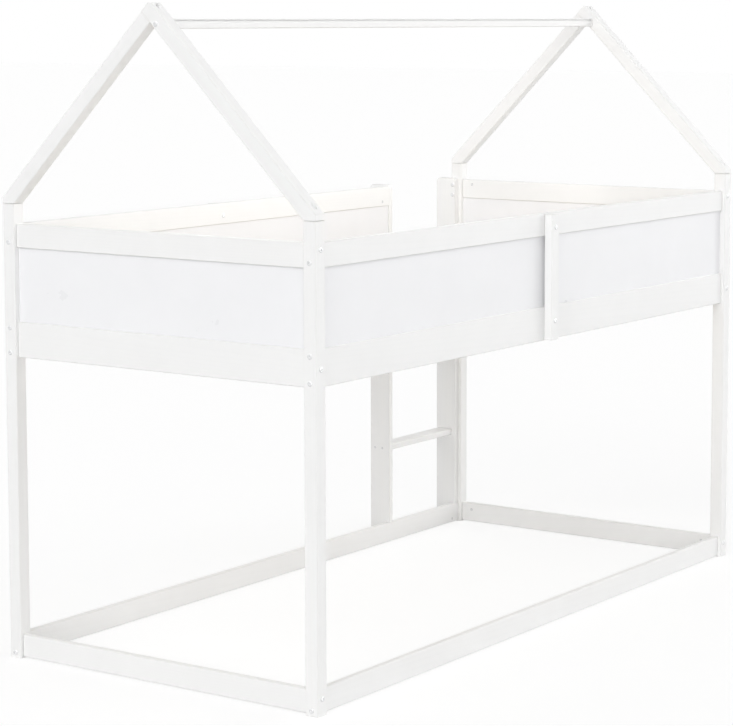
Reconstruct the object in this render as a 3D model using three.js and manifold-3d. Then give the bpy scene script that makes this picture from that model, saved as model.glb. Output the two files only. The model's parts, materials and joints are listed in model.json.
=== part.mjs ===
// A child's raised house bed in white painted timber, for a 900 x 2000 mm mattress.
// Four corner posts carry three rings of rails. A thin panel closes the guard all round,
// slats lie on two ledgers inside the lower rails, and the ring at the floor leaves the
// space below open. A gable of two rafters stands on each pair of end posts, with a ridge
// beam between them, and a ladder of two uprights and two treads is built into one long side.
//
// Millimetres, +Z up. X runs along the bed from the head to the foot, the closed long side
// is at -Y and the entry side, with the ladder, at +Y. The origin is under the middle of
// the whole box.

import * as THREE from 'three';
import { mergeVertices } from 'three/addons/utils/BufferGeometryUtils.js';
import Module from 'manifold-3d';

const wasm = await Module();
wasm.setup();

// Driving dimensions
const bedLength = 2087; // over the posts
const bedWidth = 980;
const postSide = 37; // posts and rafters are one square section
const postTop = 1165;
const boardThick = 18; // rails, slats, uprights and treads
const topRailHeight = 60;
const topRailTop = 1114;
const lowerRailHeight = 90;
const lowerRailTop = 866;
const baseRailHeight = 59;
const baseRailTop = 62;
const easing = 2; // 45 degree easing on the long arrises of every board
const gap = 0.3; // between pieces that meet
const overrun = 1; // of a cutter past the face that it opens

const panelThick = 6.5;
const panelRecess = 7; // from a rail's outer face in to the panel
const railGrooveDepth = 7;
const postGrooveDepth = 6;
const panelPlay = 0.5; // between a panel's edge and the bottom of its groove
const topGroovePlay = 2; // in front of the panel under the top rail, which drops over it last

const barThick = 24; // the stiles outside the long sides, and the height of the ridge beam
const stileEndInset = 2; // short of the rails' outer edges

const ridgeDrop = 44; // from the sharp peak down to the top of the ridge beam
const ridgeOffset = 19; // beam centre from the middle of the gable, towards the closed side
const peakFlat = 5.5; // height taken off the sharp peak
const ridgeGroove = { drop: 2.5, width: 3.5, depth: 5 }; // along the beam's closed side, under its top

const ladderOpening = 353; // between the uprights
const uprightDepth = 70;
const uprightTop = 1118;
const uprightFront = 26; // reach of the uprights in from the outer post faces
const uprightCorner = 9; // radius at the top
const cornerSteps = 5; // facets round it
const treadDepth = 55;
const treadSetback = 13; // behind the uprights' inner edges
const treadTops = [304, 585];
const housingDepth = 6;

const ledgerHeight = 30;
const ledgerBottom = 780;
const slatCount = 14;
const slatWidth = 70;
const slatPlay = 2; // at each end of a slat

// Bolts. Long and short rails are bolted at different heights, so they miss each other.
const bolt = { shank: 6, point: 0.8, head: 13, headHeight: 2.5, rim: 1.1, crown: 1.4 };
const boltSides = 12;
const socket = { across: 4, depth: 1.6 }; // hexagon in the bolt's head
const bore = 7;
const boreSides = 10;
const openBoreSides = 18; // counterbores and nut bores, which show
const counterbore = 15;
const nutBore = { diameter: 10, depth: 14, setback: 35 }; // for the barrel nut in a rail's end
const railBoreDepth = 47;
const longRailBolts = { top: [1068], lower: [788, 851], base: [14] };
const shortRailBolts = { top: [1098], lower: [820], base: [41] };
const stileBolts = [1078, 829];
const ladderBolts = [1097, 1065];
const ladderBoltInset = 16; // from the outer post face
const ladderBoltLength = 30;
const ladderBoreDepth = 12; // into the post
const rafterBoltSeat = 1183;
const rafterBoltLength = 62;
const rafterBoreDepth = 50; // into the post
const apexBoltLength = 62;
const apexSeatDepth = 8;
const apexBoreDepth = 40; // into the rafter that butts
const apexNut = { setback: 20, depth: 24 };
const ridgeBoltLength = 80;
const ridgeBoreDepth = 46; // into the beam

// Worked out from the dimensions above
const railInset = (postSide - boardThick) / 2; // rails sit in the middle of the post
const postMiddle = postSide / 2;
const slope = Math.PI / 4;
const seatRise = postSide / Math.cos(slope); // height of a rafter's plumb section
const peakHeight = postTop + bedWidth / 2 - postSide + seatRise;
const ridgeTop = peakHeight - ridgeDrop;
const ridgeMiddle = ridgeTop - barThick / 2;
const uprightStart = postSide + gap;
const midUpright = uprightStart + boardThick + ladderOpening;
const entryRailStart = midUpright + boardThick;
const grooveNear = railInset + panelRecess - gap; // from the outer post face
const grooveFar = grooveNear + panelThick + 2 * gap;
const grooveBottom = lowerRailTop - railGrooveDepth;
const grooveTop = topRailTop - topRailHeight + railGrooveDepth;
const panelBottom = grooveBottom + panelPlay;
const panelTop = grooveTop - panelPlay;
const stileBottom = lowerRailTop - lowerRailHeight + stileEndInset;
const stileFace = railInset - gap - barThick;
const lowestY = stileFace - bolt.headHeight;
const highestY = bedWidth - uprightFront + uprightDepth;

// Materials
function finish(color, roughness, metalness) {
  return new THREE.MeshStandardMaterial({ color, roughness, metalness, flatShading: true });
}
const paint = finish(0xf0f0ee, 0.42, 0);
const panelPaint = finish(0xeef0f2, 0.36, 0);
const pine = finish(0xdcc198, 0.68, 0);
const zinc = finish(0x9c9ea0, 0.34, 1);

// Solids

function solidOf(geometry) {
  const bare = geometry.clone();
  bare.deleteAttribute('normal');
  bare.deleteAttribute('uv');
  const welded = mergeVertices(bare, 1e-3);
  const mesh = new wasm.Mesh({
    numProp: 3,
    vertProperties: Float32Array.from(welded.attributes.position.array),
    triVerts: Uint32Array.from(welded.index.array),
  });
  return new wasm.Manifold(mesh);
}

function geometryOf(solid) {
  const { vertProperties, triVerts } = solid.getMesh();
  const geometry = new THREE.BufferGeometry();
  geometry.setAttribute('position', new THREE.BufferAttribute(vertProperties, 3));
  geometry.setIndex(new THREE.BufferAttribute(triVerts, 1));
  geometry.computeVertexNormals();
  return geometry;
}

// The base with every cutter taken out of it
function cut(base, cutters) {
  let solid = solidOf(base);
  for (const cutter of cutters) {
    solid = solid.subtract(solidOf(cutter));
  }
  return geometryOf(solid);
}

// The base with another geometry joined to it
function join(base, addition) {
  return geometryOf(solidOf(base).add(solidOf(addition)));
}

// Turns a geometry built along Z so that it runs along the named axis
function turnTo(geometry, axis) {
  if (axis === 'x') geometry.rotateY(Math.PI / 2);
  if (axis === 'y') geometry.rotateX(-Math.PI / 2);
  return geometry;
}

// A board with its lowest corner at the origin and its long arrises eased
function board(sizeX, sizeY, sizeZ, axis) {
  const section = {
    x: [sizeZ, sizeY, sizeX],
    y: [sizeX, sizeZ, sizeY],
    z: [sizeX, sizeY, sizeZ],
  };
  const [wide, high, long] = section[axis];
  const outline = new THREE.Shape();
  outline.moveTo(easing, 0);
  outline.lineTo(wide - easing, 0);
  outline.lineTo(wide, easing);
  outline.lineTo(wide, high - easing);
  outline.lineTo(wide - easing, high);
  outline.lineTo(easing, high);
  outline.lineTo(0, high - easing);
  outline.lineTo(0, easing);
  outline.closePath();
  const geometry = turnTo(new THREE.ExtrudeGeometry(outline, { depth: long, bevelEnabled: false }), axis);
  return toOrigin(geometry);
}

function toOrigin(geometry) {
  geometry.computeBoundingBox();
  const { min } = geometry.boundingBox;
  return geometry.translate(-min.x, -min.y, -min.z);
}

// A plain block between two corners, for cutting and for panels
function block(from, to) {
  const size = to.map((value, i) => value - from[i]);
  const middle = to.map((value, i) => (value + from[i]) / 2);
  return new THREE.BoxGeometry(...size).translate(...middle);
}

// A round cutter centred on a point
function drill(diameter, length, axis, x, y, z) {
  const sides = diameter > bore ? openBoreSides : boreSides;
  const geometry = new THREE.CylinderGeometry(diameter / 2, diameter / 2, length, sides);
  if (axis === 'x') geometry.rotateZ(Math.PI / 2);
  if (axis === 'z') geometry.rotateX(Math.PI / 2);
  return geometry.translate(x, y, z);
}

function piece(parent, name, geometry, material, x = 0, y = 0, z = 0) {
  const mesh = new THREE.Mesh(geometry, material);
  mesh.name = name;
  mesh.position.set(x, y, z);
  parent.add(mesh);
  return mesh;
}

// Posts

// A post at the start of a side. Bolts along X hold that side's rails and bolts along Y
// hold the rails of the side before it. Stopped grooves take the ends of the two panels.
function post(boltsAlongX, boltsAlongY, ladderHoles) {
  const cutters = [drill(bore, 2 * rafterBoreDepth, 'z', postMiddle, postMiddle, postTop)];
  for (const z of boltsAlongX) {
    cutters.push(drill(bore, postSide + 2 * overrun, 'x', postMiddle, postMiddle, z));
  }
  for (const z of boltsAlongY) {
    cutters.push(drill(bore, postSide + 2 * overrun, 'y', postMiddle, postMiddle, z));
  }
  for (const z of ladderHoles) {
    cutters.push(drill(bore, 2 * ladderBoreDepth, 'x', postSide, ladderBoltInset, z));
  }
  const floor = postSide - postGrooveDepth;
  const outside = postSide + overrun;
  cutters.push(block([grooveNear, floor, grooveBottom], [grooveFar, outside, grooveTop]));
  if (ladderHoles.length === 0) {
    cutters.push(block([floor, grooveNear, grooveBottom], [outside, grooveFar, grooveTop]));
  }
  return cut(board(postSide, postSide, postTop, 'z'), cutters);
}

// Rails and panels. Along X from the origin, with the outer face at Y = 0.

function rail(length, height, bottom, options) {
  const { groove, startBolts, endBolts, stileBolt } = options;
  const cutters = [];
  const middle = boardThick / 2;
  const near = grooveNear - railInset;
  const far = grooveFar - railInset;
  const grooves = {
    above: {
      from: [-overrun, near, height - railGrooveDepth],
      to: [length + overrun, far, height + overrun],
    },
    below: {
      from: [-overrun, near - topGroovePlay, -overrun],
      to: [length + overrun, far, railGrooveDepth],
    },
  };
  if (groove) {
    const { from, to } = grooves[groove];
    cutters.push(block(from, to));
  }
  const ends = [
    { at: 0, inward: 1, bolts: startBolts },
    { at: length, inward: -1, bolts: endBolts },
  ];
  const nutDrill = nutBore.depth + overrun;
  const nutMiddle = boardThick + overrun - nutDrill / 2;
  for (const { at, inward, bolts } of ends) {
    const nutX = at + inward * nutBore.setback;
    for (const boltHeight of bolts) {
      const z = boltHeight - bottom;
      cutters.push(drill(bore, 2 * railBoreDepth, 'x', at, middle, z));
      cutters.push(drill(nutBore.diameter, nutDrill, 'y', nutX, nutMiddle, z));
    }
  }
  if (stileBolt) {
    cutters.push(drill(bore, boardThick + 2 * overrun, 'y', stileBolt.x, middle, stileBolt.z - bottom));
  }
  return cut(board(length, boardThick, height, 'x'), cutters);
}

// Between two faces, entering the groove in each of them
function panel(fromFace, toFace) {
  const reach = postGrooveDepth - panelPlay;
  return block([fromFace - reach, 0, 0], [toFace + reach, panelThick, panelTop - panelBottom]);
}

function stile() {
  const length = topRailTop - stileEndInset - stileBottom;
  const cutters = stileBolts.map((z) =>
    drill(bore, barThick + 2 * overrun, 'y', postMiddle, barThick / 2, z - stileBottom));
  return cut(board(postSide, barThick, length, 'z'), cutters);
}

// Roof

// A rafter for the left of a gable, seen with X to the right: a square board laid at the
// slope, then cut level on top of the post and plumb with the post's outer face. The one
// that runs through ends square at the peak and the other butts against its underside,
// where the easing stops so that the two faces meet in one plane.
function rafter(runsThrough) {
  const half = bedWidth / 2;
  const offcut = 200; // more than anything that is sawn away
  const front = -overrun;
  const back = postSide + overrun;
  const setback = runsThrough ? 0 : postSide + gap;
  const fullLength = (half + postSide * Math.sin(slope)) / Math.cos(slope) + postSide;
  const length = fullLength - setback;
  let timber = board(length, postSide, postSide, 'x').translate(-fullLength, 0, -postSide);
  if (runsThrough) {
    timber = join(timber, block([-postSide, 0, -postSide], [0, postSide, -postMiddle]));
  }
  const tilted = (geometry) => geometry.rotateY(-slope).translate(half, 0, peakHeight);
  const cutters = [
    block([-offcut, front, postTop - offcut], [offcut, back, postTop + gap]),
    block([-offcut, front, postTop - offcut], [0, back, postTop + offcut]),
    block([half - postSide, front, peakHeight - peakFlat], [half + postSide, back, peakHeight + overrun]),
    drill(bore, 2 * rafterBoreDepth, 'z', postMiddle, postMiddle, postTop),
    drill(counterbore, postSide, 'z', postMiddle, postMiddle, rafterBoltSeat + postMiddle),
  ];
  if (runsThrough) {
    cutters.push(tilted(drill(bore, postSide + 2 * overrun, 'z', -postMiddle, postMiddle, -postMiddle)));
    cutters.push(tilted(drill(counterbore, 2 * apexSeatDepth, 'z', -postMiddle, postMiddle, 0)));
    cutters.push(drill(bore, postSide + 2 * overrun, 'y', half - ridgeOffset, postMiddle, ridgeMiddle));
  } else {
    const nutX = -setback - apexNut.setback;
    cutters.push(tilted(drill(bore, 2 * apexBoreDepth, 'x', -setback, postMiddle, -postMiddle)));
    cutters.push(tilted(drill(nutBore.diameter, 2 * apexNut.depth, 'z', nutX, postMiddle, 0)));
  }
  return cut(tilted(timber), cutters);
}

function ridgeBeam() {
  const length = bedLength - 2 * postSide - 2 * gap;
  const middle = [boardThick / 2, barThick / 2];
  const cutters = [0, length].map((x) => drill(bore, 2 * ridgeBoreDepth, 'x', x, ...middle));
  const grooveEdge = barThick - ridgeGroove.drop;
  const grooveFrom = [-overrun, -overrun, grooveEdge - ridgeGroove.width];
  cutters.push(block(grooveFrom, [length + overrun, ridgeGroove.depth, grooveEdge]));
  return cut(board(length, boardThick, barThick, 'x'), cutters);
}

// Ladder. In the frame of the entry side: Y = 0 is the outer face of the posts, +Y is inward.

// The outline is notched over the base rail and the lower rail and rounded at the top.
function uprightOutline() {
  const inner = uprightFront;
  const outer = uprightFront - uprightDepth;
  const notch = railInset - gap;
  const outline = new THREE.Shape();
  outline.moveTo(outer, 0);
  outline.lineTo(notch, 0);
  outline.lineTo(notch, baseRailTop + gap);
  outline.lineTo(inner, baseRailTop + gap);
  outline.lineTo(inner, lowerRailTop - lowerRailHeight - gap);
  outline.lineTo(notch, lowerRailTop - lowerRailHeight - gap);
  outline.lineTo(notch, lowerRailTop + gap);
  outline.lineTo(inner, lowerRailTop + gap);
  const centreZ = uprightTop - uprightCorner;
  outline.absarc(inner - uprightCorner, centreZ, uprightCorner, 0, Math.PI / 2, false);
  outline.absarc(outer + uprightCorner, centreZ, uprightCorner, Math.PI / 2, Math.PI, false);
  outline.closePath();
  return outline;
}

// openSide is 1 where the treads enter from +X and -1 where they enter from -X
function upright(openSide, bolts, panelEnd) {
  const options = { depth: boardThick, bevelEnabled: false, curveSegments: cornerSteps };
  const plate = new THREE.ExtrudeGeometry(uprightOutline(), options);
  const axes = new THREE.Matrix4().makeBasis(
    new THREE.Vector3(0, 1, 0),
    new THREE.Vector3(0, 0, 1),
    new THREE.Vector3(1, 0, 0),
  );
  plate.applyMatrix4(axes);
  const face = openSide > 0 ? boardThick : 0;
  const inner = uprightFront - treadSetback + gap;
  const outer = uprightFront - uprightDepth - overrun;
  const cutters = treadTops.map((top) => block(
    [face - housingDepth, outer, top - boardThick - gap],
    [face + housingDepth, inner, top + gap],
  ));
  for (const { y, z } of bolts) {
    cutters.push(drill(bore, boardThick + 2 * overrun, 'x', boardThick / 2, y, z));
  }
  if (panelEnd) {
    const floor = boardThick - postGrooveDepth;
    cutters.push(block([floor, grooveNear, grooveBottom], [boardThick + overrun, grooveFar, grooveTop]));
  }
  return cut(plate, cutters);
}

function tread() {
  const length = ladderOpening + 2 * housingDepth - 2 * gap;
  return board(length, treadDepth, boardThick, 'x');
}

// Bolts, along Z with the underside of the head at Z = 0 and the shank below it
function headedBolt(length) {
  const shank = bolt.shank / 2;
  const head = bolt.head / 2;
  const profile = [
    [0, -length],
    [shank - bolt.point, -length],
    [shank, -length + bolt.point],
    [shank, 0],
    [head, 0],
    [head, bolt.rim],
    [head - bolt.crown, bolt.headHeight],
    [0, bolt.headHeight],
  ];
  const points = profile.map(([radius, height]) => new THREE.Vector2(radius, height));
  const turned = new THREE.LatheGeometry(points, boltSides);
  turned.rotateX(Math.PI / 2);
  const corner = socket.across / Math.sqrt(3);
  const hexagon = new THREE.CylinderGeometry(corner, corner, 2 * socket.depth, 6);
  hexagon.rotateX(Math.PI / 2).translate(0, 0, bolt.headHeight);
  return cut(turned, [hexagon]);
}

// Places a bolt with its head towards the given direction
function boltAt(parent, name, length, seat, towards) {
  const mesh = piece(parent, name, headedBolt(length), zinc, ...seat);
  mesh.quaternion.setFromUnitVectors(new THREE.Vector3(0, 0, 1), new THREE.Vector3(...towards));
}

// Assembly

const bed = new THREE.Group();
bed.name = 'house_bed';
const frame = new THREE.Group();
frame.position.set(-bedLength / 2, -(lowestY + highestY) / 2, 0);
bed.add(frame);

// Each side starts at a post. Seen from outside its rails run to the right, and +Y is inward.
const sides = {
  closed: { origin: [0, 0], turn: 0, length: bedLength, bolts: longRailBolts },
  foot: { origin: [bedLength, 0], turn: 1, length: bedWidth, bolts: shortRailBolts },
  entry: { origin: [bedLength, bedWidth], turn: 2, length: bedLength, bolts: longRailBolts },
  head: { origin: [0, bedWidth], turn: 3, length: bedWidth, bolts: shortRailBolts },
};
const postNames = {
  closed: 'post_head_closed',
  foot: 'post_foot_closed',
  entry: 'post_foot_entry',
  head: 'post_head_entry',
};
const stileCentres = {
  closed: bedLength / 2,
  entry: (entryRailStart + bedLength - postSide) / 2,
};

for (const [name, side] of Object.entries(sides)) {
  const group = new THREE.Group();
  group.position.set(side.origin[0], side.origin[1], 0);
  group.rotation.z = side.turn * Math.PI / 2;
  frame.add(group);
  side.group = group;

  const isLong = side.bolts === longRailBolts;
  const crossing = isLong ? shortRailBolts : longRailBolts;
  const hasLadder = name === 'entry';
  const topBolts = hasLadder ? [] : side.bolts.top;
  const boltsAlongX = [...topBolts, ...side.bolts.lower, ...side.bolts.base];
  const boltsAlongY = [...crossing.top, ...crossing.lower, ...crossing.base];
  const corner = post(boltsAlongX, boltsAlongY, hasLadder ? ladderBolts : []);
  piece(group, postNames[name], corner, paint);

  const start = postSide + gap;
  const end = side.length - postSide - gap;
  const topStart = hasLadder ? entryRailStart + gap : start;
  const stileCentre = stileCentres[name];
  const rows = [
    { row: 'top', height: topRailHeight, top: topRailTop, from: topStart, groove: 'below' },
    { row: 'lower', height: lowerRailHeight, top: lowerRailTop, from: start, groove: 'above' },
    { row: 'base', height: baseRailHeight, top: baseRailTop, from: start },
  ];
  rows.forEach(({ row, height, top, from, groove }, index) => {
    const bottom = top - height;
    const bolted = index < 2 && stileCentre;
    const options = {
      groove,
      startBolts: side.bolts[row],
      endBolts: side.bolts[row],
      stileBolt: bolted ? { x: stileCentre - from, z: stileBolts[index] } : null,
    };
    const timber = rail(end - from, height, bottom, options);
    piece(group, `${name}_${row}_rail`, timber, paint, from, railInset, bottom);
  });

  const panelFrom = hasLadder ? entryRailStart : postSide;
  const sheet = panel(panelFrom, side.length - postSide);
  piece(group, `${name}_panel`, sheet, panelPaint, 0, railInset + panelRecess, panelBottom);
}

// Stiles outside the two long sides
for (const [name, centre] of Object.entries(stileCentres)) {
  piece(sides[name].group, `${name}_stile`, stile(), paint, centre - postMiddle, stileFace, stileBottom);
}
stileBolts.forEach((z, i) => {
  const name = ['closed_stile_bolt_upper', 'closed_stile_bolt_lower'][i];
  const length = barThick + boardThick;
  boltAt(sides.closed.group, name, length, [stileCentres.closed, stileFace, z], [0, -1, 0]);
});

// Gables. The rafter that runs through stands on the closed side's post at both ends.
const upSlope = [Math.cos(slope), 0, Math.sin(slope)];
const offSlope = [-Math.sin(slope), 0, Math.cos(slope)];
const peak = [bedWidth / 2, postMiddle, peakHeight];
const apexSeat = peak.map((value, i) =>
  value - postMiddle * upSlope[i] + (gap - apexSeatDepth) * offSlope[i]);
const postSeat = [postMiddle, postMiddle, rafterBoltSeat + gap];

for (const name of ['head', 'foot']) {
  const { group } = sides[name];
  const closedIsLeft = name === 'foot';
  const halves = [
    { label: 'closed', through: true, isLeft: closedIsLeft },
    { label: 'entry', through: false, isLeft: !closedIsLeft },
  ];
  for (const { label, through, isLeft } of halves) {
    const holder = new THREE.Group();
    if (!isLeft) {
      holder.rotation.z = Math.PI;
      holder.position.set(bedWidth, postSide, 0);
    }
    group.add(holder);
    piece(holder, `${name}_rafter_${label}`, rafter(through), paint);
    boltAt(holder, `${name}_rafter_bolt_${label}`, rafterBoltLength, postSeat, [0, 0, 1]);
    if (through) boltAt(holder, `${name}_apex_bolt`, apexBoltLength, apexSeat, offSlope);
  }
  const ridgeX = (bedWidth + (closedIsLeft ? -2 : 2) * ridgeOffset) / 2;
  boltAt(group, `${name}_ridge_bolt`, ridgeBoltLength, [ridgeX, 0, ridgeMiddle], [0, -1, 0]);
}
const ridgeY = bedWidth / 2 - ridgeOffset - boardThick / 2;
piece(frame, 'ridge_beam', ridgeBeam(), paint, postSide + gap, ridgeY, ridgeTop - barThick);

// Ladder, built into the entry side beside the foot post
const ladder = sides.entry.group;
const postFixings = ladderBolts.map((z) => ({ y: ladderBoltInset, z }));
const railFixings = longRailBolts.top.map((z) => ({ y: postMiddle, z }));
piece(ladder, 'ladder_upright_post', upright(1, postFixings, false), paint, uprightStart);
piece(ladder, 'ladder_upright_mid', upright(-1, railFixings, true), paint, midUpright);
treadTops.forEach((top, i) => {
  const x = uprightStart + boardThick - housingDepth + gap;
  const y = uprightFront - treadSetback - treadDepth;
  piece(ladder, `ladder_tread_${i + 1}`, tread(), paint, x, y, top - boardThick);
});
ladderBolts.forEach((z, i) => {
  const name = ['ladder_bolt_upper', 'ladder_bolt_lower'][i];
  const seat = [uprightStart + boardThick, ladderBoltInset, z];
  boltAt(ladder, name, ladderBoltLength, seat, [1, 0, 0]);
});

// Ledgers inside the lower rails, and the slats across them
const innerFace = railInset + boardThick;
const insideLength = bedLength - 2 * postSide;
const ledger = board(insideLength - 2 * slatPlay, barThick, ledgerHeight, 'x');
for (const name of ['closed', 'entry']) {
  const { group } = sides[name];
  piece(group, `${name}_ledger`, ledger, pine, postSide + slatPlay, innerFace + gap, ledgerBottom);
}
const slatPitch = insideLength / slatCount;
const slatLength = bedWidth - 2 * innerFace - 2 * slatPlay;
const slatBottom = ledgerBottom + ledgerHeight + gap;
const slat = board(slatWidth, slatLength, boardThick, 'y');
for (let i = 0; i < slatCount; i++) {
  const x = postSide + slatPitch * (i + 0.5) - slatWidth / 2;
  const name = `slat_${String(i + 1).padStart(2, '0')}`;
  piece(frame, name, slat, pine, x, innerFace + slatPlay, slatBottom);
}

export default bed;
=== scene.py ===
# A child's raised house bed in white painted timber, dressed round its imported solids.
# Metres, +Z up. The head end is at -X and the entry side, with the ladder, at +Y.

import json
import math
import random

import bmesh
import bpy
import numpy as np
from mathutils import Matrix, Vector


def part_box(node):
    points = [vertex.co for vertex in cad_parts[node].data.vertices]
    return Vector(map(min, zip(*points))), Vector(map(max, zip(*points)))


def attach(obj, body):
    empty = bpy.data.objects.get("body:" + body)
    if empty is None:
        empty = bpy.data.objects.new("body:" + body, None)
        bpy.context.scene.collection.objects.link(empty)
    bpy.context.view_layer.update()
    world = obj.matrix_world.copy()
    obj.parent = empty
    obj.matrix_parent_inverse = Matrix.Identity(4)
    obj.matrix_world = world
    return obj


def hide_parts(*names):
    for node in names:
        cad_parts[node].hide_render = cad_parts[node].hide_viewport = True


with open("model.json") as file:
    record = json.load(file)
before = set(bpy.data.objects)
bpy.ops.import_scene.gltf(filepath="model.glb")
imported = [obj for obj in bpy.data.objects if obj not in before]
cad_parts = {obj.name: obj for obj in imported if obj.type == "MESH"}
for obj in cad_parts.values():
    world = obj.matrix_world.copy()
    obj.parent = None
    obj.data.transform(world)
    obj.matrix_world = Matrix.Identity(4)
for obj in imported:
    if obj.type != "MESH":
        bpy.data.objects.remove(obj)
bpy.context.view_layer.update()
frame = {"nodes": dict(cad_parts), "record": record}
nodes = frame["nodes"]
nodeSlots = {part["node"]: part["material_slot"] for part in frame["record"]["subparts"]}
print("frame loaded,", len(nodes), "nodes")


# Camera, at the photograph's angle

view = {
    "place": (-5.4729, -3.7981, 1.6276),
    "heading": 55.96,  # degrees from +Y towards +X
    "tilt": -5.89,  # degrees above the horizon
    "lens": 118.74,
    "sensor": 36,
    "shift": (-0.080, -0.130),
    "farthest": 200,
}


def makeCamera():
    deselectAll()
    turn = (math.radians(90 + view["tilt"]), 0, math.radians(-view["heading"]))
    bpy.ops.object.camera_add(location=view["place"], rotation=turn)
    camera = bpy.context.object
    camera.name = "camera"
    camera.data.lens = view["lens"]
    camera.data.sensor_width = view["sensor"]
    camera.data.shift_x, camera.data.shift_y = view["shift"]
    camera.data.clip_end = view["farthest"]
    bpy.context.scene.camera = camera


# Working by hand: selection, modifiers and cuts

def deselectAll():
    if bpy.context.object and bpy.context.object.mode != "OBJECT":
        bpy.ops.object.mode_set(mode="OBJECT")
    bpy.ops.object.select_all(action="DESELECT")


def pickUp(piece):
    deselectAll()
    piece.select_set(True)
    bpy.context.view_layer.objects.active = piece


def applyModifier(piece, kind, **values):
    pickUp(piece)
    modifier = piece.modifiers.new(kind.lower(), kind)
    for name, value in values.items():
        setattr(modifier, name, value)
    bpy.ops.object.modifier_apply(modifier=modifier.name)


overrun = 0.001  # how far a cutter reaches past what it cuts


def cutWith(piece, cutter):
    applyModifier(piece, "BOOLEAN", operation="DIFFERENCE", solver="EXACT", object=cutter)
    bpy.data.objects.remove(cutter)


edges = {
    "smoothUpTo": 35,  # degrees between two faces
    "easeFrom": 40,  # degrees between two faces of a fitting
    "flatFaceWeight": 90,
}


# Shades rounded edges smooth and keeps large faces flat
def smooth(piece):
    pickUp(piece)
    bpy.ops.object.shade_smooth_by_angle(angle=math.radians(edges["smoothUpTo"]))
    applyModifier(piece, "WEIGHTED_NORMAL", keep_sharp=True, weight=edges["flatFaceWeight"])


# Takes the sharpness off the edges of a metal fitting
def ease(piece, width, segments=2):
    applyModifier(piece, "BEVEL", width=width, segments=segments, limit_method="ANGLE",
                  angle_limit=math.radians(edges["easeFrom"]), use_clamp_overlap=True)


# A turned form from rings of (radius, height), from its lowest face to its highest
def turnedForm(name, rings, sides):
    deselectAll()
    (radius, height), *rest = rings
    centre = (0, 0, height)
    bpy.ops.mesh.primitive_circle_add(vertices=sides, radius=radius, fill_type="NGON", location=centre)
    piece = bpy.context.object
    piece.name = name
    bpy.ops.object.mode_set(mode="EDIT")
    bpy.ops.mesh.select_all(action="SELECT")
    for nextRadius, nextHeight in rest:
        lift = (0, 0, nextHeight - height)
        grow = nextRadius / radius
        bpy.ops.mesh.extrude_region_move(TRANSFORM_OT_translate={"value": lift})
        bpy.ops.transform.resize(value=(grow, grow, 1))
        radius, height = nextRadius, nextHeight
    bpy.ops.mesh.select_all(action="SELECT")
    bpy.ops.mesh.normals_make_consistent(inside=False)
    bpy.ops.object.mode_set(mode="OBJECT")
    bpy.ops.object.transform_apply(location=True, rotation=True, scale=True)
    return piece


# Shader node groups

def startGroup(name, takes, gives):
    group = bpy.data.node_groups.new(name, "ShaderNodeTree")
    for label, kind, value in takes:
        socket = group.interface.new_socket(name=label, in_out="INPUT", socket_type=kind)
        if value is not None:
            socket.default_value = value
    for label, kind in gives:
        group.interface.new_socket(name=label, in_out="OUTPUT", socket_type=kind)
    entry = group.nodes.new("NodeGroupInput")
    leave = group.nodes.new("NodeGroupOutput")
    return group, entry.outputs, leave.inputs


# Adds a node, sets its properties and fills its inputs with values or links
def addNode(tree, kind, inputs=None, **properties):
    node = tree.nodes.new(kind)
    for name, value in properties.items():
        setattr(node, name, value)
    for name, value in (inputs or {}).items():
        if isinstance(value, bpy.types.NodeSocket):
            tree.links.new(value, node.inputs[name])
        else:
            node.inputs[name].default_value = value
    return node


def calc(tree, operation, *values, clamp=False):
    inputs = dict(enumerate(values))
    return addNode(tree, "ShaderNodeMath", inputs, operation=operation, use_clamp=clamp).outputs[0]


def vectorCalc(tree, operation, *values):
    inputs = dict(enumerate(values))
    return addNode(tree, "ShaderNodeVectorMath", inputs, operation=operation).outputs[0]


def mixColour(tree, factor, first, second):
    inputs = {"Factor": factor, 6: first, 7: second}
    return addNode(tree, "ShaderNodeMix", inputs, data_type="RGBA").outputs[2]


# The colour made lighter or darker by a grey
def shaded(tree, colour, shade):
    grey = addNode(tree, "ShaderNodeCombineColor", {"Red": shade, "Green": shade, "Blue": shade})
    inputs = {"Factor": 1.0, 6: colour, 7: grey.outputs["Color"]}
    return addNode(tree, "ShaderNodeMix", inputs, data_type="RGBA", blend_type="MULTIPLY").outputs[2]


# Noise keeps to the middle of its range, so what reads it stretches about 0.3 to 0.7
def noise(tree, vector, scale, detail=2.0, roughness=0.5):
    inputs = {"Vector": vector, "Scale": scale, "Detail": detail, "Roughness": roughness}
    return addNode(tree, "ShaderNodeTexNoise", inputs).outputs["Fac"]


def remap(tree, value, fromLow, fromHigh, toLow, toHigh):
    inputs = {"Value": value, "From Min": fromLow, "From Max": fromHigh, "To Min": toLow, "To Max": toHigh}
    return addNode(tree, "ShaderNodeMapRange", inputs).outputs["Result"]


# The wide filter keeps fine relief from turning to specks at a distance
def relief(tree, height, strength, depth):
    inputs = {"Strength": strength, "Distance": depth, "Filter Width": 1.0, "Height": height}
    return addNode(tree, "ShaderNodeBump", inputs).outputs["Normal"]


boardEdges = {
    "arris": (0.0006, 0.0030),  # from the edge: wholly on the arris, and off it
    "end": (0.0004, 0.0012),
}


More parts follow.
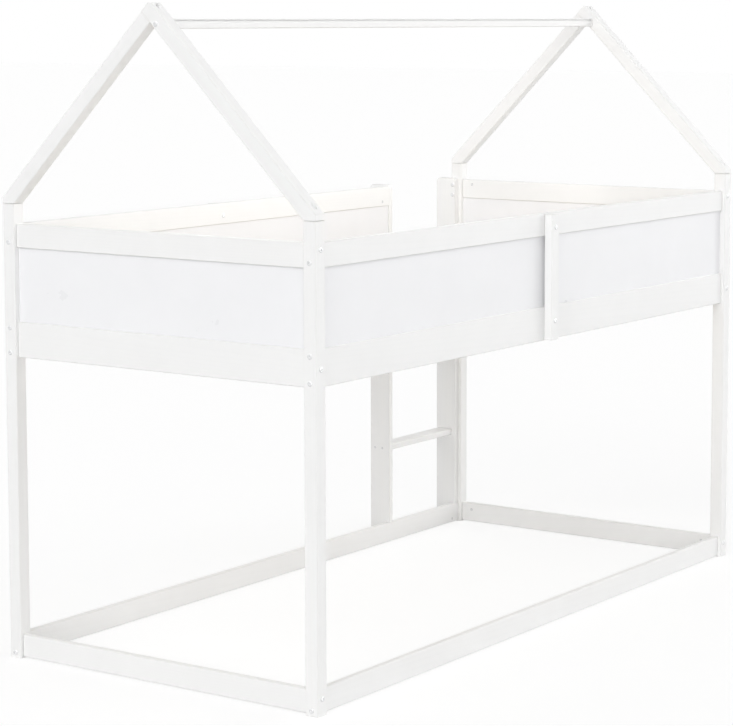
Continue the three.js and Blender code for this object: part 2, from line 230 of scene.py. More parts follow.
# Where a point is on its board: place along the grain, and how near it is to an arris or an end
def makeBoardGroup():
    group, _, gives = startGroup(
        "boardPlace",
        [],
        [("Grain", "NodeSocketVector"), ("Arris", "NodeSocketFloat"), ("End", "NodeSocketFloat")],
    )
    place = addNode(group, "ShaderNodeAttribute", attribute_name="boardPlace").outputs["Vector"]
    half = addNode(group, "ShaderNodeAttribute", attribute_name="boardHalf").outputs["Vector"]
    pith = addNode(group, "ShaderNodeAttribute", attribute_name="boardPith").outputs["Vector"]
    depth = vectorCalc(group, "SUBTRACT", half, vectorCalc(group, "ABSOLUTE", place))
    parts = addNode(group, "ShaderNodeSeparateXYZ", {"Vector": depth}).outputs
    near = [remap(group, part, *boardEdges["arris"], 1.0, 0.0) for part in parts]
    pairs = [calc(group, "MULTIPLY", near[a], near[b]) for a, b in ((0, 1), (1, 2), (0, 2))]
    arris = calc(group, "MAXIMUM", calc(group, "MAXIMUM", pairs[0], pairs[1]), pairs[2])
    end = remap(group, parts[0], *boardEdges["end"], 1.0, 0.0)
    group.links.new(vectorCalc(group, "ADD", place, pith), gives["Grain"])
    group.links.new(arris, gives["Arris"])
    group.links.new(end, gives["End"])
    return group


softwood = {
    "bend": (1.6, 9.0, 9.0),  # scales along and across the grain
    "taper": 0.012,  # how fast the rings drift along the grain
    "lateWood": 3.2,  # higher gives narrower dark bands
    "bandEdge": 0.94,  # the dark band fades out over the rest of the ring
    "fibre": (14.0, 900.0, 900.0),
    "patch": (3.0, 22.0, 22.0),
}


# Growth rings and fibres of softwood round a pith that lies along X
def makeGrainGroup():
    group, takes, gives = startGroup(
        "softwoodGrain",
        [("Grain", "NodeSocketVector", None), ("Ring Width", "NodeSocketFloat", 0.004),
         ("Wander", "NodeSocketFloat", 0.006)],
        [("Ring", "NodeSocketFloat"), ("Fibre", "NodeSocketFloat"), ("Patch", "NodeSocketFloat")],
    )
    slow = vectorCalc(group, "MULTIPLY", takes["Grain"], softwood["bend"])
    bend = addNode(group, "ShaderNodeTexNoise", {"Vector": slow, "Scale": 1.0, "Detail": 2.0})
    centred = vectorCalc(group, "SUBTRACT", bend.outputs["Color"], (0.5, 0.5, 0.5))
    moved = addNode(group, "ShaderNodeVectorMath", {0: centred, "Scale": takes["Wander"]}, operation="SCALE")
    bent = vectorCalc(group, "ADD", takes["Grain"], moved.outputs[0])
    across = vectorCalc(group, "MULTIPLY", bent, (softwood["taper"], 1.0, 1.0))
    radius = addNode(group, "ShaderNodeVectorMath", {0: across}, operation="LENGTH").outputs["Value"]
    phase = calc(group, "FRACT", calc(group, "DIVIDE", radius, takes["Ring Width"]))
    late = calc(group, "POWER", phase, softwood["lateWood"])
    drop = remap(group, phase, softwood["bandEdge"], 1.0, 0.0, 1.0)
    ring = calc(group, "SUBTRACT", late, drop, clamp=True)
    fine = vectorCalc(group, "MULTIPLY", bent, softwood["fibre"])
    coarse = vectorCalc(group, "MULTIPLY", bent, softwood["patch"])
    group.links.new(ring, gives["Ring"])
    group.links.new(noise(group, fine, 1.0, 3.0, 0.6), gives["Fibre"])
    group.links.new(noise(group, coarse, 1.0), gives["Patch"])
    return group


lacquer = {
    "peelScale": 420.0,
    "cloudScale": 7.0,
    "speckScale": 1600.0,
    "speckRange": (0.66, 0.78),
}


# The film of a sprayed white lacquer: orange peel, and a faint unevenness in shade and gloss
def makeFilmGroup():
    group, takes, gives = startGroup(
        "lacquerFilm",
        [("Peel Scale", "NodeSocketFloat", lacquer["peelScale"])],
        [("Peel", "NodeSocketFloat"), ("Cloud", "NodeSocketFloat"), ("Speck", "NodeSocketFloat")],
    )
    place = addNode(group, "ShaderNodeTexCoord").outputs["Object"]
    group.links.new(noise(group, place, takes["Peel Scale"], 2.0), gives["Peel"])
    group.links.new(noise(group, place, lacquer["cloudScale"], 4.0, 0.6), gives["Cloud"])
    speck = noise(group, place, lacquer["speckScale"], 1.0)
    group.links.new(remap(group, speck, *lacquer["speckRange"], 0.0, 1.0), gives["Speck"])
    return group


def startMaterial(name):
    material = bpy.data.materials.new(name)
    material.use_nodes = True
    tree = material.node_tree
    return material, tree, tree.nodes["Principled BSDF"].inputs


def useGroup(tree, group, inputs=None):
    return addNode(tree, "ShaderNodeGroup", inputs, node_tree=group).outputs


boardGroup = makeBoardGroup()
grainGroup = makeGrainGroup()
filmGroup = makeFilmGroup()


# Materials

paintedTimber = {
    "colour": (0.892, 0.892, 0.888, 1),
    "darkArrisColour": (0.810, 0.804, 0.786, 1),  # a darker tone put on the arrises
    "darkArrisShare": (0.25, 0.8),
    "endColour": (0.850, 0.846, 0.832, 1),
    "endShare": 0.6,
    "ringWidth": 0.0045,
    "shade": (0.985, 1.012),
    "ringShade": 0.012,
    "speckShade": 0.02,
    "roughness": (0.34, 0.46),
    "endRoughness": 0.12,  # more than on the faces
    "peelHeight": 0.10,  # shares of the relief
    "ringHeight": 0.30,
    "fibreHeight": 0.35,
    "bump": 0.55,
    "relief": 0.00004,
}


def makePaintedTimber():
    look = paintedTimber
    material, tree, shader = startMaterial("white_lacquered_timber")
    board = useGroup(tree, boardGroup)
    grain = useGroup(tree, grainGroup, {"Grain": board["Grain"], "Ring Width": look["ringWidth"]})
    film = useGroup(tree, filmGroup)
    # The arrises get a darker tone, more of it where the cloud is high
    darkArris = calc(tree, "MULTIPLY", board["Arris"], remap(tree, film["Cloud"], 0.3, 0.7, *look["darkArrisShare"]))
    colour = mixColour(tree, darkArris, look["colour"], look["darkArrisColour"])
    atEnd = calc(tree, "MULTIPLY", board["End"], look["endShare"])
    colour = mixColour(tree, atEnd, colour, look["endColour"])
    shade = remap(tree, film["Cloud"], 0.25, 0.75, *look["shade"])
    shade = calc(tree, "SUBTRACT", shade, calc(tree, "MULTIPLY", grain["Ring"], look["ringShade"]))
    shade = calc(tree, "SUBTRACT", shade, calc(tree, "MULTIPLY", film["Speck"], look["speckShade"]))
    tree.links.new(shaded(tree, colour, shade), shader["Base Color"])
    rough = remap(tree, film["Cloud"], 0.3, 0.7, *look["roughness"])
    rough = calc(tree, "ADD", rough, calc(tree, "MULTIPLY", board["End"], look["endRoughness"]))
    tree.links.new(rough, shader["Roughness"])
    height = calc(tree, "MULTIPLY", film["Peel"], look["peelHeight"])
    height = calc(tree, "SUBTRACT", height, calc(tree, "MULTIPLY", grain["Ring"], look["ringHeight"]))
    height = calc(tree, "ADD", height, calc(tree, "MULTIPLY", grain["Fibre"], look["fibreHeight"]))
    tree.links.new(relief(tree, height, look["bump"], look["relief"]), shader["Normal"])
    return material


panelSheet = {
    "colour": (0.886, 0.888, 0.902, 1),
    "peelScale": 900.0,
    "shade": (0.988, 1.010),
    "speckShade": 0.015,
    "roughness": (0.27, 0.36),
    "bump": 0.5,
    "relief": 0.00004,
}


def makePanelSheet():
    look = panelSheet
    material, tree, shader = startMaterial("white_faced_panel")
    film = useGroup(tree, filmGroup, {"Peel Scale": look["peelScale"]})
    shade = remap(tree, film["Cloud"], 0.25, 0.75, *look["shade"])
    shade = calc(tree, "SUBTRACT", shade, calc(tree, "MULTIPLY", film["Speck"], look["speckShade"]))
    tree.links.new(shaded(tree, look["colour"], shade), shader["Base Color"])
    tree.links.new(remap(tree, film["Cloud"], 0.3, 0.7, *look["roughness"]), shader["Roughness"])
    tree.links.new(relief(tree, film["Peel"], look["bump"], look["relief"]), shader["Normal"])
    return material


barePine = {
    "early": (0.850, 0.760, 0.620, 1),
    "late": (0.700, 0.555, 0.385, 1),
    "end": (0.740, 0.615, 0.455, 1),
    "patch": (0.880, 0.810, 0.690, 1),
    "patchShare": 0.8,
    "lateShare": 0.72,
    "streakShare": 0.26,
    "endShare": 0.55,
    "ringWidth": 0.0042,
    "wander": 0.010,
    "roughness": (0.52, 0.68),
    "ringRoughness": 0.08,  # less than between the rings
    "fibreHeight": 0.6,
    "bump": 0.5,
    "relief": 0.00022,
}


def makeBarePine():
    look = barePine
    material, tree, shader = startMaterial("planed_pine")
    board = useGroup(tree, boardGroup)
    inputs = {"Grain": board["Grain"], "Ring Width": look["ringWidth"], "Wander": look["wander"]}
    grain = useGroup(tree, grainGroup, inputs)
    pale = remap(tree, grain["Patch"], 0.35, 0.7, 0.0, look["patchShare"])
    colour = mixColour(tree, pale, look["early"], look["patch"])
    ring = calc(tree, "MULTIPLY", grain["Ring"], look["lateShare"])
    colour = mixColour(tree, ring, colour, look["late"])
    streak = remap(tree, grain["Fibre"], 0.3, 0.75, 0.0, look["streakShare"])
    colour = mixColour(tree, streak, colour, look["late"])
    atEnd = calc(tree, "MULTIPLY", board["End"], look["endShare"])
    colour = mixColour(tree, atEnd, colour, look["end"])
    tree.links.new(colour, shader["Base Color"])
    rough = remap(tree, grain["Fibre"], 0.3, 0.7, *look["roughness"])
    rough = calc(tree, "SUBTRACT", rough, calc(tree, "MULTIPLY", grain["Ring"], look["ringRoughness"]))
    tree.links.new(rough, shader["Roughness"])
    fibre = calc(tree, "MULTIPLY", grain["Fibre"], look["fibreHeight"])
    height = calc(tree, "SUBTRACT", fibre, grain["Ring"])
    tree.links.new(relief(tree, height, look["bump"], look["relief"]), shader["Normal"])
    return material


zincPlate = {
    "bright": (0.780, 0.782, 0.788, 1),
    "dull": (0.690, 0.694, 0.700, 1),
    "cloudScale": 260.0,
    "scratches": (900.0, 900.0, 5200.0),
    "roughness": (0.50, 0.64),
    "bump": 0.4,
    "relief": 0.00002,
}


def makeZincPlate():
    look = zincPlate
    material, tree, shader = startMaterial("zinc_plate")
    place = addNode(tree, "ShaderNodeTexCoord").outputs["Object"]
    cloud = noise(tree, place, look["cloudScale"], 3.0)
    scratch = noise(tree, vectorCalc(tree, "MULTIPLY", place, look["scratches"]), 1.0, 2.0)
    colour = mixColour(tree, remap(tree, cloud, 0.35, 0.65, 0.0, 1.0), look["bright"], look["dull"])
    tree.links.new(colour, shader["Base Color"])
    shader["Metallic"].default_value = 1.0
    tree.links.new(remap(tree, scratch, 0.3, 0.7, *look["roughness"]), shader["Roughness"])
    tree.links.new(relief(tree, scratch, look["bump"], look["relief"]), shader["Normal"])
    return material


materials = {
    "white_painted_wood": makePaintedTimber(),
    "white_panel": makePanelSheet(),
    "bare_pine": makeBarePine(),
    "bolt_steel": makeZincPlate(),
}
print("materials made")


# Every finished piece goes through here
def handOver(piece, slot, replaced=None):
    piece.data.materials.clear()
    piece.data.materials.append(materials[slot])
    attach(piece, "root")
    if replaced:
        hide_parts(replaced)


# Timber. Each board is a copy of its solid with rounded arrises, and its grain runs along it.

timber = {
    "rounding": 0.0009,
    "seatRounding": 0.0017,  # where a rafter meets its post
    "apexRounding": 0.00012,  # where two rafters meet
    "seatGap": 0.00030,  # more than the solids have, on each side of a rafter's seat
    "railEndGap": 0.00040,
    "roundingSteps": 2,
    "sharperThan": 40,  # degrees. The facets of a bore turn by less and stay as they are.
    "pithOffset": 0.045,
    "pithBeside": (0.3, 1.2),  # of the offset
    "pithBelow": (0.5, 1.6),
    "pithAlong": 20,  # the grain starts anywhere within this much
    "mergeWithin": 0.00002,
    "flatWithin": 1,  # degrees
}
panelRounding = 0.0003
closeBy = 0.001  # two places this near each other count as one
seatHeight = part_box("post_head_closed")[1].z
upClosedSlope = Vector((0, 1, 1)).normalized()
upEntrySlope = Vector((0, -1, 1)).normalized()


def grainDirection(node):
    if "rafter" in node:
        return upClosedSlope if node.endswith("closed") else upEntrySlope
    low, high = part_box(node)
    size = high - low
    longest = max(range(3), key=lambda axis: size[axis])
    return Vector([float(axis == longest) for axis in range(3)])


def writeAttribute(piece, name, values):
    attribute = piece.data.attributes.new(name, "FLOAT_VECTOR", "POINT")
    attribute.data.foreach_set("vector", np.asarray(values, np.float32).ravel())


# Writes each point's place on its board, and where the pith is, for the grain
def markBoard(piece, along, seed):
    dice = random.Random(seed)
    wide = Vector((0, 1, 0)) if abs(along.x) > 0.5 else Vector((1, 0, 0))
    axes = np.array([along, wide, along.cross(wide)])
    points = np.zeros(len(piece.data.vertices) * 3, np.float32)
    piece.data.vertices.foreach_get("co", points)
    place = points.reshape(-1, 3) @ axes.T
    low, high = place.min(0), place.max(0)
    offset = timber["pithOffset"]
    start = dice.uniform(-timber["pithAlong"], timber["pithAlong"])
    beside = dice.choice((-1, 1)) * dice.uniform(*timber["pithBeside"]) * offset
    below = dice.choice((-1, 1)) * dice.uniform(*timber["pithBelow"]) * offset
    writeAttribute(piece, "boardPlace", place - (low + high) / 2)
    writeAttribute(piece, "boardHalf", np.tile((high - low) / 2, (len(place), 1)))
    writeAttribute(piece, "boardPith", np.tile((start, beside, below), (len(place), 1)))


def copySolid(node, suffix):
    piece = bpy.data.objects.new(f"{node}_{suffix}", nodes[node].data.copy())
    bpy.context.scene.collection.objects.link(piece)
    pickUp(piece)
    bpy.ops.mesh.customdata_custom_splitnormals_clear()
    bpy.ops.object.mode_set(mode="EDIT")
    bpy.ops.mesh.select_all(action="SELECT")
    bpy.ops.mesh.remove_doubles(threshold=timber["mergeWithin"])
    bpy.ops.mesh.dissolve_limited(angle_limit=math.radians(timber["flatWithin"]))
    bpy.ops.object.mode_set(mode="OBJECT")
    return piece


# Cuts a board off at a plane, on the side that the plane faces
def trim(piece, point, outward):
    pickUp(piece)
    bpy.ops.object.mode_set(mode="EDIT")
    bpy.ops.mesh.select_all(action="SELECT")
    bpy.ops.mesh.bisect(plane_co=point, plane_no=outward, use_fill=True, clear_outer=True)
    bpy.ops.object.mode_set(mode="OBJECT")


# Opens the joints that show as dark lines: under the rafters, and at the rails' ends
def openJoints(piece, node):
    low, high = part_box(node)
    if node.startswith("post"):
        trim(piece, high - Vector((0, 0, timber["seatGap"])), (0, 0, 1))
    if "rafter" in node:
        trim(piece, low + Vector((0, 0, timber["seatGap"])), (0, 0, -1))
    if node.endswith("_rail"):
        along = grainDirection(node)
        trim(piece, high - along * timber["railEndGap"], along)
        trim(piece, low + along * timber["railEndGap"], -along)


# Rounds the arrises. widthAt gives the width that the edge between two points gets.
def roundOver(piece, widthAt):
    widest = max(timber["rounding"], timber["seatRounding"])
    form = bmesh.new()
    form.from_mesh(piece.data)
    weights = form.edges.layers.float.new("bevel_weight_edge")
    for edge in form.edges:
        if edge.calc_face_angle(0) > math.radians(timber["sharperThan"]):
            edge[weights] = widthAt(*(corner.co for corner in edge.verts)) / widest
    form.to_mesh(piece.data)
    form.free()
    applyModifier(piece, "BEVEL", width=widest, segments=timber["roundingSteps"],
                  limit_method="WEIGHT", use_clamp_overlap=True)


# Tells whether a point of a rafter is where the two rafters meet: at the end of the one that butts, or on
# the underside of the other, within the width of the one that butts
def apexTest(node):
    up = grainDirection(node)
    under = Vector((0, up.y, -up.z)).normalized()
    corners = [Vector(corner.co) for corner in nodes[node].data.vertices]
    top = max(corner.dot(up) for corner in corners)
    underside = max(corner.dot(under) for corner in corners)
    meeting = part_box("post_head_closed")[1].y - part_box("post_head_closed")[0].y + closeBy

    def atApex(point):
        if node.endswith("entry"):
            return top - point.dot(up) < closeBy
        return top - point.dot(up) < meeting and underside - point.dot(under) < closeBy

    return atApex


# The width of rounding along each edge of a board
def arrisWidths(node, slot):
    atApex = apexTest(node) if "rafter" in node else None

    def widthAt(*ends):
        if slot == "white_panel":
            return panelRounding
        if all(abs(point.z - seatHeight) < closeBy for point in ends):
            return timber["seatRounding"]
        if atApex and all(atApex(point) for point in ends):
            return timber["apexRounding"]
        return timber["rounding"]

    return widthAt


screws = {
    "head": 0.0078,
    "headDepth": 0.0034,
    "shank": 0.0038,
    "rim": 0.0003,
    "crown": 0.0001,
    "flat": 0.6,  # radius of the flat on top, as a share of the head's
    "recess": 0.0038,
    "recessWidth": 0.0011,
    "recessDepth": 0.0016,
    "length": 0.035,
    "point": 0.0004,
    "pointLength": 0.006,
    "easing": 0.00012,
    "sides": 32,
    "sunk": 0.0002,
    "pilot": 0.0015,  # radius of the hole under the countersink
    "clearance": 0.0001,  # round the head
    "countersinkSides": 20,
}
screwsPerLedger = 8
treadScrewShares = (0.25, 0.75)  # of the tread's depth


# Countersinks a board where a screw goes in
def countersink(piece, seat, towards):
    depth = screws["headDepth"] + screws["sunk"]
    wide = screws["head"] / 2 + screws["clearance"]
    rings = [(screws["pilot"], -depth), (wide, -screws["sunk"]), (wide, 2 * overrun)]
    cutter = turnedForm("countersink", rings, screws["countersinkSides"])
    cutter.data.transform(facing(seat, towards))
    cutWith(piece, cutter)


# Turns what was made along +Z so that it points in a direction, and moves it to its seat
def facing(seat, towards, spin=0.0):
    turn = Vector((0, 0, 1)).rotation_difference(Vector(towards)).to_matrix().to_4x4()
    return Matrix.Translation(seat) @ turn @ Matrix.Rotation(spin, 4, "Z")


slatNames = sorted(name for name in nodes if name.startswith("slat_"))
ledgerNames = ["closed_ledger", "entry_ledger"]
treadNames = ["ladder_tread_1", "ladder_tread_2"]


def middle(node):
    low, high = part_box(node)
    return (low + high) / 2


# Every screw as (board that it goes into, its seat, the way its head faces)
def screwPlaces():
    places = []
    for slat in slatNames:
        for ledger in ledgerNames:
            seat = Vector((middle(slat).x, middle(ledger).y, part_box(slat)[1].z))
            places.append((slat, seat, (0, 0, 1)))
    for ledger in ledgerNames:
        low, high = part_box(ledger)
        inward = -1 if middle(ledger).y > 0 else 1
        face = high.y if inward > 0 else low.y
        for i in range(screwsPerLedger):
            x = low.x + (high.x - low.x) * (i + 0.5) / screwsPerLedger
            places.append((ledger, Vector((x, face, middle(ledger).z)), (0, inward, 0)))
    for upright, side in (("ladder_upright_mid", -1), ("ladder_upright_post", 1)):
        low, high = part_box(upright)
        face = low.x if side < 0 else high.x
        for tread in treadNames:
            front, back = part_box(tread)
            for share in treadScrewShares:
                y = front.y + (back.y - front.y) * share
                places.append((upright, Vector((face, y, middle(tread).z)), (side, 0, 0)))
    return places


screwSeats = screwPlaces()


def makeTimber():
    for order, node in enumerate(sorted(nodes)):
        slot = nodeSlots[node]
        if slot not in ("white_painted_wood", "bare_pine", "white_panel"):
            continue
        suffix = "planed" if slot == "bare_pine" else "painted"
        piece = copySolid(node, suffix)
        openJoints(piece, node)
        roundOver(piece, arrisWidths(node, slot))
        for board, seat, towards in screwSeats:
            if board == node:
                countersink(piece, seat, towards)
        smooth(piece)
        markBoard(piece, grainDirection(node), order)
        handOver(piece, slot, node)
    print("timber made")


# Bolts, nuts and screws. Each is made once along Z, with its seat at the origin.

fittingSides = 40

bolts = {
    "head": 0.013,
    "headHeight": 0.0025,
    "rim": 0.0011,
    "crown": 0.0020,  # how far the rounding of the head reaches in from its rim
    "crownRings": 5,
    "crownStep": 15,  # degrees
    "flat": 0.9,  # radius of the flat round the socket, as a share of the socket
    "shank": 0.006,
    "tip": 0.0008,
    "socket": 0.004,  # across the flats
    "socketDepth": 0.0016,
    "easing": 0.00018,
    "railBoltLength": 0.080,
    "stileBoltLength": 0.042,
}


def addHexagon(across, low, high):
    deselectAll()
    centre = (0, 0, (low + high) / 2)
    radius = across / math.sqrt(3)
    bpy.ops.mesh.primitive_cylinder_add(vertices=6, radius=radius, depth=high - low, location=centre)
    bpy.ops.object.transform_apply(location=True, rotation=True, scale=True)
    return bpy.context.object


def makeBolt(length):
    head, height, rim = bolts["head"] / 2, bolts["headHeight"], bolts["rim"]
    shank, tip = bolts["shank"] / 2, bolts["tip"]
    rings = [(shank - tip, -length), (shank, -length + tip), (shank, 0), (head, 0), (head, rim)]
    for i in range(1, bolts["crownRings"] + 1):
        angle = math.radians(bolts["crownStep"] * i)
        radius = head - bolts["crown"] * (1 - math.cos(angle))
        rings.append((radius, rim + (height - rim) * math.sin(angle)))
    rings.append((bolts["socket"] * bolts["flat"], height))
    bolt = turnedForm("bolt", rings, fittingSides)
    cutWith(bolt, addHexagon(bolts["socket"], height - bolts["socketDepth"], height + overrun))
    ease(bolt, bolts["easing"])
    smooth(bolt)
    return bolt


barrelNuts = {
    "across": 0.0094,
    "length": 0.013,
    "slot": 0.0013,
    "slotDepth": 0.0012,
    "easing": 0.00025,
    "sunk": 0.0002,
    "setback": 0.035,  # from the end of its rail
}


def addBar(size, place):
    deselectAll()
    bpy.ops.mesh.primitive_cube_add(size=1, location=place)
    bar = bpy.context.object
    bar.scale = size
    bpy.ops.object.transform_apply(location=True, rotation=True, scale=True)
    return bar


def makeBarrelNut():
    radius, length = barrelNuts["across"] / 2, barrelNuts["length"]
    nut = turnedForm("barrel_nut", [(radius, -length), (radius, 0)], fittingSides)
    bar = (2 * radius + 2 * overrun, barrelNuts["slot"], 2 * barrelNuts["slotDepth"])
    cutWith(nut, addBar(bar, (0, 0, 0)))
    ease(nut, barrelNuts["easing"])
    smooth(nut)
    return nut


sleeveNuts = {
    "across": 0.0125,
    "height": 0.0018,
    "crown": ((1, 0), (1, 0.4), (0.93, 0.75), (0.75, 1)),  # shares of the radius and of the height
    "slot": 0.0014,
    "easing": 0.00015,
}


def makeSleeveNut():
    radius, height = sleeveNuts["across"] / 2, sleeveNuts["height"]
    rings = [(wide * radius, high * height) for wide, high in sleeveNuts["crown"]]
    nut = turnedForm("sleeve_nut", rings, fittingSides)
    bar = (2 * radius + 2 * overrun, sleeveNuts["slot"], height)
    cutWith(nut, addBar(bar, (0, 0, height)))
    ease(nut, sleeveNuts["easing"])
    smooth(nut)
    return nut


def makeScrew():
    head, shank, length = screws["head"] / 2, screws["shank"] / 2, screws["length"]
    rings = [(screws["point"], -length), (shank, -length + screws["pointLength"])]
    rings += [(shank, -screws["headDepth"]), (head, -screws["rim"])]
    rings += [(head, 0), (head * screws["flat"], screws["crown"])]
    screw = turnedForm("screw", rings, screws["sides"])
    long, narrow, deep = screws["recess"], screws["recessWidth"], 2 * screws["recessDepth"]
    for size in ((long, narrow, deep), (narrow, long, deep)):
        cutWith(screw, addBar(size, (0, 0, 0)))
    ease(screw, screws["easing"], 1)
    smooth(screw)
    return screw


turns = random.Random(11)


# A copy of a fastener at its seat, turned by chance as fingers leave it
def fit(source, name, seat, towards, replaced=None):
    piece = bpy.data.objects.new(name, source.data.copy())
    bpy.context.scene.collection.objects.link(piece)
    piece.data.transform(facing(seat, towards, turns.uniform(0, math.pi)))
    handOver(piece, "bolt_steel", replaced)


# The bolts that are solids, and the way that their heads face
boltDirections = {
    "closed_stile_bolt": (0, -1, 0),
    "head_ridge_bolt": (-1, 0, 0),
    "foot_ridge_bolt": (1, 0, 0),
    "ladder_bolt": (-1, 0, 0),
    "rafter_bolt": (0, 0, 1),
    "apex_bolt": (0, -math.sqrt(0.5), math.sqrt(0.5)),
}


# Where the head of such a bolt sits, and how long its shank is
def seatOf(node, towards):
    towards = Vector(towards)
    wide = towards.orthogonal().normalized()
    axes = np.array([towards, wide, towards.cross(wide)])
    points = np.array([vertex.co for vertex in nodes[node].data.vertices]) @ axes.T
    low, high = points.min(0), points.max(0)
    local = (low + high) / 2
    local[0] = high[0] - bolts["headHeight"]
    return Vector(axes.T @ local), high[0] - low[0] - bolts["headHeight"]


def makeSolidBolts():
    for node in sorted(nodes):
        if nodeSlots[node] != "bolt_steel":
            continue
        towards = next(way for part, way in boltDirections.items() if part in node)
        seat, length = seatOf(node, towards)
        source = makeBolt(length)
        fit(source, f"{node}_turned", seat, towards, node)
        bpy.data.objects.remove(source)
    print("bolts that are solids made")


# Heights of the bolts in each rail, from the floor
railBolts = {
    "long": {"top": [1.068], "lower": [0.788, 0.851], "base": [0.014]},
    "short": {"top": [1.098], "lower": [0.820], "base": [0.041]},
}
stileBoltHeights = [1.078, 0.829]  # in the top rail and the lower rail


# The rail bolts and their barrel nuts: through the post, or the ladder's upright, into the rail's end
def makeRailBolts():
    bolt = makeBolt(bolts["railBoltLength"])
    nut = makeBarrelNut()
    bedLow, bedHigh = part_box("post_head_closed")[0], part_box("post_foot_entry")[1]
    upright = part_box("ladder_upright_mid")[1].x
    for side in ("closed", "entry", "head", "foot"):
        isLong = side in ("closed", "entry")
        along, inward = (0, 1) if isLong else (1, 0)
        for row, heights in railBolts["long" if isLong else "short"].items():
            low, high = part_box(f"{side}_{row}_rail")
            centre = (low + high) / 2
            innerFace = high[inward] if centre[inward] < 0 else low[inward]
            inwards = Vector((0, 0, 0))
            inwards[inward] = 1 if centre[inward] < 0 else -1
            for end, way in (("start", -1), ("end", 1)):
                towards = Vector((0, 0, 0))
                towards[along] = way
                outer = bedLow[along] if way < 0 else bedHigh[along]
                if side == "entry" and row == "top" and way > 0:
                    outer = upright
                railEnd = low[along] if way < 0 else high[along]
                for number, height in enumerate(heights, 1):
                    name = f"{side}_{row}_rail_{end}_{number}"
                    seat, nutSeat = centre.copy(), centre.copy()
                    seat.z = nutSeat.z = height
                    seat[along] = outer
                    fit(bolt, name + "_bolt", seat, towards)
                    nutSeat[along] = railEnd - way * barrelNuts["setback"]
                    nutSeat[inward] = innerFace
                    nutSeat -= inwards * barrelNuts["sunk"]
                    fit(nut, name + "_barrel_nut", nutSeat, inwards)
    bpy.data.objects.remove(bolt)
    bpy.data.objects.remove(nut)
    print("rail bolts made")


apexNutSetback = 0.020  # from the end of the rafter that butts


def makeStileAndApexNuts():
    sleeve = makeSleeveNut()
    bolt = makeBolt(bolts["stileBoltLength"])
    for side, inward in (("closed", 1), ("entry", -1)):
        stileLow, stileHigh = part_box(f"{side}_stile")
        x = (stileLow.x + stileHigh.x) / 2
        for row, height in zip(("top", "lower"), stileBoltHeights):
            low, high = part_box(f"{side}_{row}_rail")
            face = high.y if inward > 0 else low.y
            fit(sleeve, f"{side}_stile_{row}_sleeve_nut", Vector((x, face, height)), (0, inward, 0))
            if side == "entry":
                seat = Vector((x, stileHigh.y, height))
                fit(bolt, f"entry_stile_{row}_bolt", seat, (0, 1, 0))
    for end in ("head", "foot"):
        seat, towards = apexNutSeat(end)
        fit(sleeve, f"{end}_apex_nut", seat, towards)
    bpy.data.objects.remove(sleeve)
    bpy.data.objects.remove(bolt)
    print("stile and apex nuts made")


# On the upper face of the rafter that butts, a little way below the joint
def apexNutSeat(end):
    node = f"{end}_rafter_entry"
    low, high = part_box(node)
    outward = Vector((0, 1, 1)).normalized()
    points = np.array([vertex.co for vertex in nodes[node].data.vertices])
    face = (points @ np.array(outward)).max()
    top = (points @ np.array(upEntrySlope)).max()
    seat = outward * face + upEntrySlope * (top - apexNutSetback)
    seat.x = (low.x + high.x) / 2
    return seat, outward


def makeScrews():
    screw = makeScrew()
    for number, (board, seat, towards) in enumerate(screwSeats, 1):
        lowered = seat - Vector(towards) * screws["sunk"]
        fit(screw, f"{board}_screw_{number:02d}", lowered, towards)
    bpy.data.objects.remove(screw)
    print("screws made")


# Floor, world and lamps

studio = {
    "floorSize": 120,
    "floorDrop": 0.0002,  # below the bed's feet
    "floorColour": 0.90,
    "floorGlow": 0.75,  # for the camera the floor is mostly a glow, so that only soft shadows show on it
    "floorShade": 0.29,
    "worldStrength": 0.20,
    "suns": {  # degrees from -Y towards +X, degrees above the floor, strength
        "left_low": (-60, 12, 1.46),
        "left_high": (-90, 40, 0.85),
        "right_low": (60, 12, 1.54),
        "right_high": (30, 40, 0.45),
        "back_high": (180, 45, 0.62),
    },
    "sunSpread": 50,  # degrees
    "sunDistance": 4,  # for show: a sun lights from any place alike
    "stripPower": 1.42,  # two strips over the deck, for the inner faces of the guard
    "stripShare": 0.7,  # of the one that faces the closed side
    "stripSize": (1.7, 0.15),
    "stripHeight": 1.25,
    "stripOffset": 0.10,  # from the middle of the bed
    "stripLean": 0.1,  # how far its light points down, for each metre
}


# 1 for what the camera sees directly, and for what a gloss or glass shows
def seenDirectly(tree):
    ray = addNode(tree, "ShaderNodeLightPath").outputs
    seen = calc(tree, "MAXIMUM", ray["Is Camera Ray"], ray["Is Glossy Ray"])
    return calc(tree, "MAXIMUM", seen, ray["Is Transmission Ray"])


def makeStrip(name, towards, power):
    place = (0, -towards * studio["stripOffset"], studio["stripHeight"])
    turn = Vector((0, -towards, studio["stripLean"])).to_track_quat("Z", "Y").to_euler()
    bpy.ops.object.light_add(type="AREA", location=place, rotation=turn)
    strip = bpy.context.object
    strip.name = name
    strip.data.shape = "RECTANGLE"
    strip.data.size, strip.data.size_y = studio["stripSize"]
    strip.data.energy = power
    strip.visible_camera = False


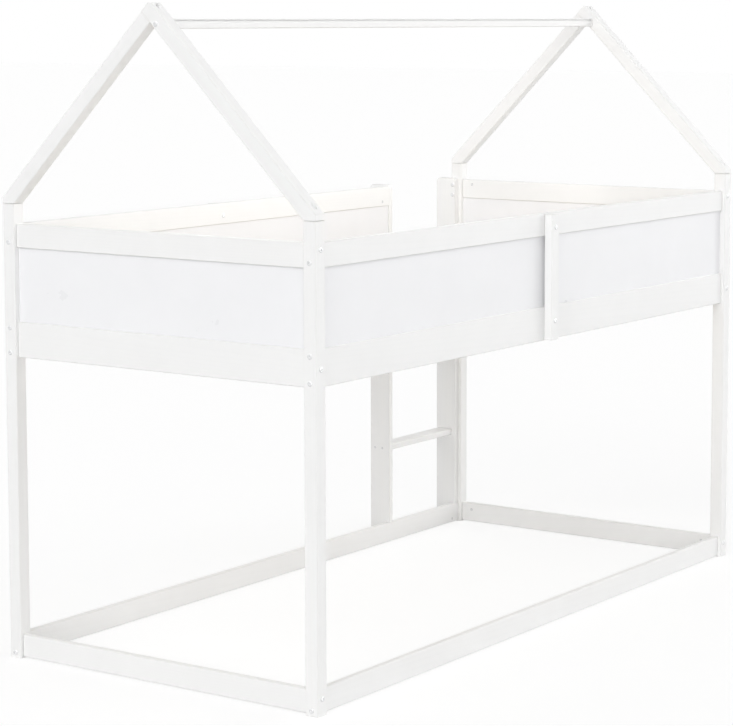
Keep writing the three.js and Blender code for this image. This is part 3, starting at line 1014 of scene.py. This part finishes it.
def makeSun(name, heading, height, strength):
    heading, height = math.radians(heading), math.radians(height)
    level = math.cos(height)
    towards = Vector((math.sin(heading) * level, -math.cos(heading) * level, math.sin(height)))
    turn = towards.to_track_quat("Z", "Y").to_euler()
    bpy.ops.object.light_add(type="SUN", location=studio["sunDistance"] * towards, rotation=turn)
    sun = bpy.context.object
    sun.name = f"sun_{name}"
    sun.data.energy = strength
    sun.data.angle = math.radians(studio["sunSpread"])


def makeStudio():
    deselectAll()
    bpy.ops.mesh.primitive_plane_add(size=studio["floorSize"], location=(0, 0, -studio["floorDrop"]))
    floor = bpy.context.object
    floor.name = "studio_floor"
    material, tree, _ = startMaterial("studio_floor")
    tree.nodes.remove(tree.nodes["Principled BSDF"])
    seen = seenDirectly(tree)
    level = remap(tree, seen, 0.0, 1.0, studio["floorColour"], studio["floorShade"])
    diffuse = addNode(tree, "ShaderNodeBsdfDiffuse", {"Color": level})
    glowing = calc(tree, "MULTIPLY", seen, studio["floorGlow"])
    glow = addNode(tree, "ShaderNodeEmission", {"Strength": glowing})
    both = addNode(tree, "ShaderNodeAddShader", {0: diffuse.outputs[0], 1: glow.outputs[0]})
    tree.links.new(both.outputs[0], tree.nodes["Material Output"].inputs["Surface"])
    floor.data.materials.append(material)

    world = bpy.data.worlds.new("studio")
    bpy.context.scene.world = world
    world.use_nodes = True
    tree = world.node_tree
    strength = remap(tree, seenDirectly(tree), 0.0, 1.0, studio["worldStrength"], 1.0)
    background = tree.nodes["Background"]
    background.inputs["Color"].default_value = (1, 1, 1, 1)
    tree.links.new(strength, background.inputs["Strength"])

    for name, (heading, height, strength) in studio["suns"].items():
        makeSun(name, heading, height, strength)
    makeStrip("strip_entry", 1, studio["stripPower"])
    makeStrip("strip_closed", -1, studio["stripPower"] * studio["stripShare"])
    print("studio made")


bpy.context.scene.view_settings.view_transform = "Standard"
makeCamera()
makeTimber()
makeSolidBolts()
makeRailBolts()
makeStileAndApexNuts()
makeScrews()
makeStudio()
